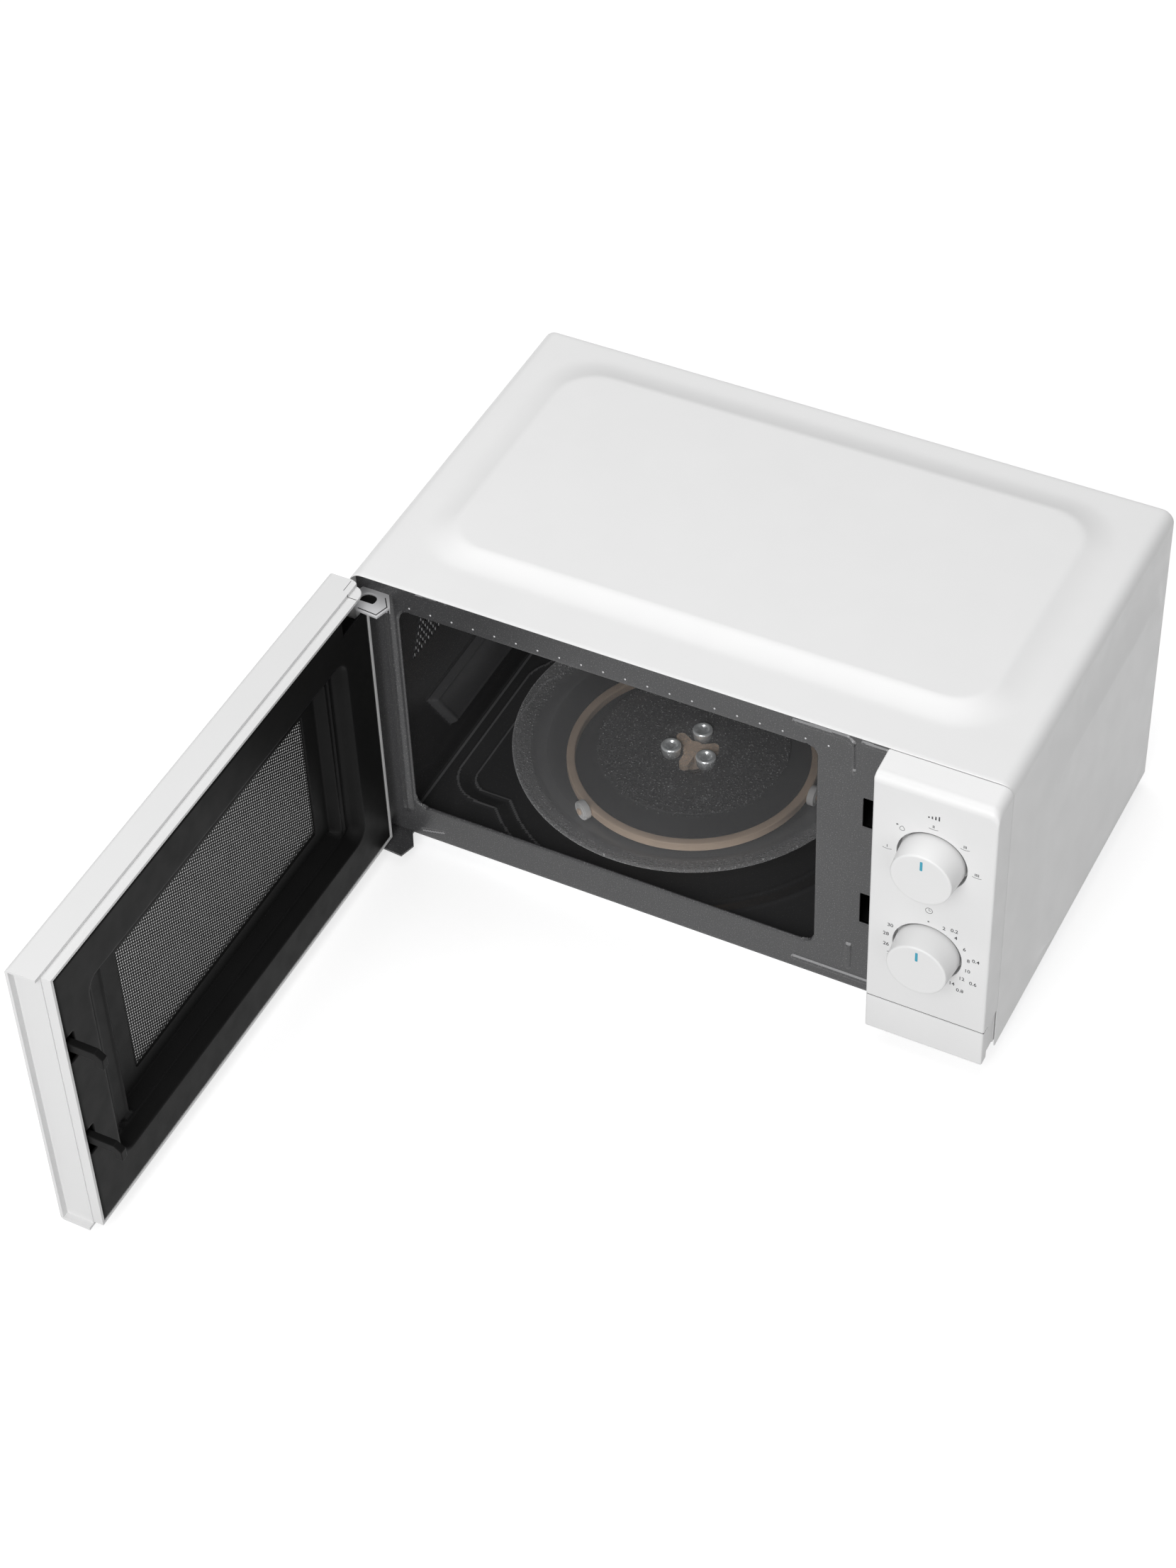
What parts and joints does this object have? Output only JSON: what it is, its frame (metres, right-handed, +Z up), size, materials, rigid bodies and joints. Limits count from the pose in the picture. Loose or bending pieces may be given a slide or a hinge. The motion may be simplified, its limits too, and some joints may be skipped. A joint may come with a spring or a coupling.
{
  "type": "microwave oven",
  "caption": "Free-standing microwave oven with side-hung door standing open, glass turntable on a roller ring, two rotary controls and a push-button door release.",
  "frame": {"origin": "middle of the cabinet footprint on the surface that the feet stand on; the open door stands in front of it", "axes": "+X to the right seen from the front, +Y to the back, +Z up"},
  "size_m": [0.4654, 0.6455, 0.2495],
  "materials": {
    "cover_paint": "smooth white powder coat on pressed steel sheet",
    "galvanised_steel": "galvanised sheet, satin",
    "front_paint": "dark grey speckled coat",
    "cavity_enamel": "dark grey cavity enamel, satin",
    "white_plastic": "moulded white ABS, fine satin",
    "black_plastic": "moulded black, fine grain",
    "door_steel": "black painted perforated steel",
    "window_acrylic": "clear window sheet",
    "tray_glass": "clear pressed glass, dimpled underside",
    "ring_plastic": "brown heat-proof moulding",
    "wheel_plastic": "white low-friction moulding",
    "motor_steel": "zinc-plated steel",
    "core_steel": "varnished laminations",
    "copper_wire": "enamelled winding wire",
    "can_aluminium": "drawn can, satin",
    "control_plastic": "glass-filled grey moulding",
    "board_laminate": "circuit board with parts",
    "ceramic_body": "fired ceramic tube",
    "lamp_glass": "clear bulb",
    "mica": "mica sheet",
    "spring_steel": "drawn spring wire",
    "foot_rubber": "moulded rubber",
    "screw_steel": "zinc-plated screws"
  },
  "bodies": {
    "cabinet": {"outer_cover": "cover_paint", "base_plate": "galvanised_steel", "rear_plate": "galvanised_steel", "front_plate": "front_paint", "cavity_floor": "cavity_enamel", "cavity_roof": "cavity_enamel", "cavity_back_wall": "cavity_enamel", "cavity_left_wall": "cavity_enamel", "cavity_right_wall": "cavity_enamel", "turntable_motor": "motor_steel", "waveguide_cover": "mica", "waveguide": "galvanised_steel", "magnetron": "can_aluminium", "magnetron_filter_box": "galvanised_steel", "transformer_core": "core_steel", "transformer_windings": "copper_wire", "hv_capacitor": "can_aluminium", "capacitor_bracket": "galvanised_steel", "hv_diode": "black_plastic", "fan_shroud": "control_plastic", "fan_motor": "motor_steel", "air_guide": "control_plastic", "lamp_holder": "control_plastic", "cavity_lamp": "lamp_glass", "noise_filter_board": "board_laminate", "mains_fuse": "ceramic_body", "thermal_cutouts": "black_plastic", "cord_bushing": "black_plastic", "interlock_bracket": "control_plastic", "interlock_switches": "black_plastic", "control_panel": "white_plastic", "power_selector": "control_plastic", "timer_unit": "motor_steel", "timer_bell": "motor_steel", "upper_hinge": "galvanised_steel", "lower_hinge": "front_paint", "feet": "foot_rubber", "cover_screws": "screw_steel", "button_spring": "spring_steel"},
    "door": {"door_shell": "white_plastic", "door_window": "window_acrylic", "door_metal_panel": "door_steel", "door_inner_cover": "black_plastic", "door_hinge_pins": "motor_steel", "latch_guide": "black_plastic", "latch_spring": "spring_steel"},
    "latch": {"door_latch": "black_plastic"},
    "turntable": {"drive_coupler": "ring_plastic", "glass_tray": "tray_glass"},
    "roller_ring": {"roller_ring": "ring_plastic"},
    "roller_1": {"roller_1": "wheel_plastic"},
    "roller_2": {"roller_2": "wheel_plastic"},
    "roller_3": {"roller_3": "wheel_plastic"},
    "power_control": {"power_knob": "white_plastic", "power_shaft": "motor_steel"},
    "timer_control": {"timer_knob": "white_plastic", "timer_shaft": "motor_steel"},
    "release_button": {"door_release_button": "white_plastic"},
    "release_lever": {"release_lever": "wheel_plastic"},
    "fan": {"fan_blade": "control_plastic"}
  },
  "joints": [
    {"name": "door_hinge", "type": "hinge", "parent": "cabinet", "child": "door", "pos_m": [-0.2215, -0.1427, 0.12725], "axis": [0, 0, -1], "range_deg": [-90, 10]},
    {"name": "latch_slide", "type": "slide", "parent": "door", "child": "latch", "axis": [0, 0, 1], "range_m": [0, 0.004], "stiffness_N_per_m": 150, "springref_m": -0.006, "deforming": ["latch_spring"]},
    {"name": "turntable_spin", "type": "hinge", "parent": "cabinet", "child": "turntable", "pos_m": [-0.0496, -0.004, 0.045], "axis": [0, 0, 1], "continuous": true},
    {"name": "roller_ring_spin", "type": "hinge", "parent": "cabinet", "child": "roller_ring", "pos_m": [-0.0496, -0.004, 0.036], "axis": [0, 0, 1], "continuous": true},
    {"name": "roller_1_roll", "type": "hinge", "parent": "roller_ring", "child": "roller_1", "pos_m": [0.0396, -0.004, 0.03605], "axis": [1, 0, 0], "continuous": true},
    {"name": "roller_2_roll", "type": "hinge", "parent": "roller_ring", "child": "roller_2", "pos_m": [-0.0942, 0.07325, 0.03605], "axis": [-0.5, 0.866, 0], "continuous": true},
    {"name": "roller_3_roll", "type": "hinge", "parent": "roller_ring", "child": "roller_3", "pos_m": [-0.0942, -0.08125, 0.03605], "axis": [-0.5, -0.866, 0], "continuous": true},
    {"name": "power_knob_turn", "type": "hinge", "parent": "cabinet", "child": "power_control", "pos_m": [0.1844, -0.1655, 0.1858], "axis": [0, 1, 0], "range_deg": [-90, 90]},
    {"name": "timer_knob_turn", "type": "hinge", "parent": "cabinet", "child": "timer_control", "pos_m": [0.1844, -0.1655, 0.1051], "axis": [0, 1, 0], "range_deg": [0, 296]},
    {"name": "button_press", "type": "slide", "parent": "cabinet", "child": "release_button", "axis": [0, 1, 0], "range_m": [0, 0.003], "stiffness_N_per_m": 400, "springref_m": -0.004, "deforming": ["button_spring"]},
    {"name": "release_lever_swing", "type": "hinge", "parent": "cabinet", "child": "release_lever", "pos_m": [0.16, -0.123, 0.058], "axis": [1, 0, 0], "range_deg": [-0.2, 8.2]},
    {"name": "fan_spin", "type": "hinge", "parent": "cabinet", "child": "fan", "pos_m": [0.172, 0.1009, 0.184], "axis": [0, 1, 0], "continuous": true}
  ],
  "couplings": [
    {"joint": "roller_ring_spin", "follows": "turntable_spin", "ratio": 0.5},
    {"joint": "roller_1_roll", "follows": "turntable_spin", "ratio": -6.4638},
    {"joint": "roller_2_roll", "follows": "turntable_spin", "ratio": -6.4638},
    {"joint": "roller_3_roll", "follows": "turntable_spin", "ratio": -6.4638},
    {"joint": "release_lever_swing", "follows": "button_press", "rad_per_m": 45.455}
  ]
}
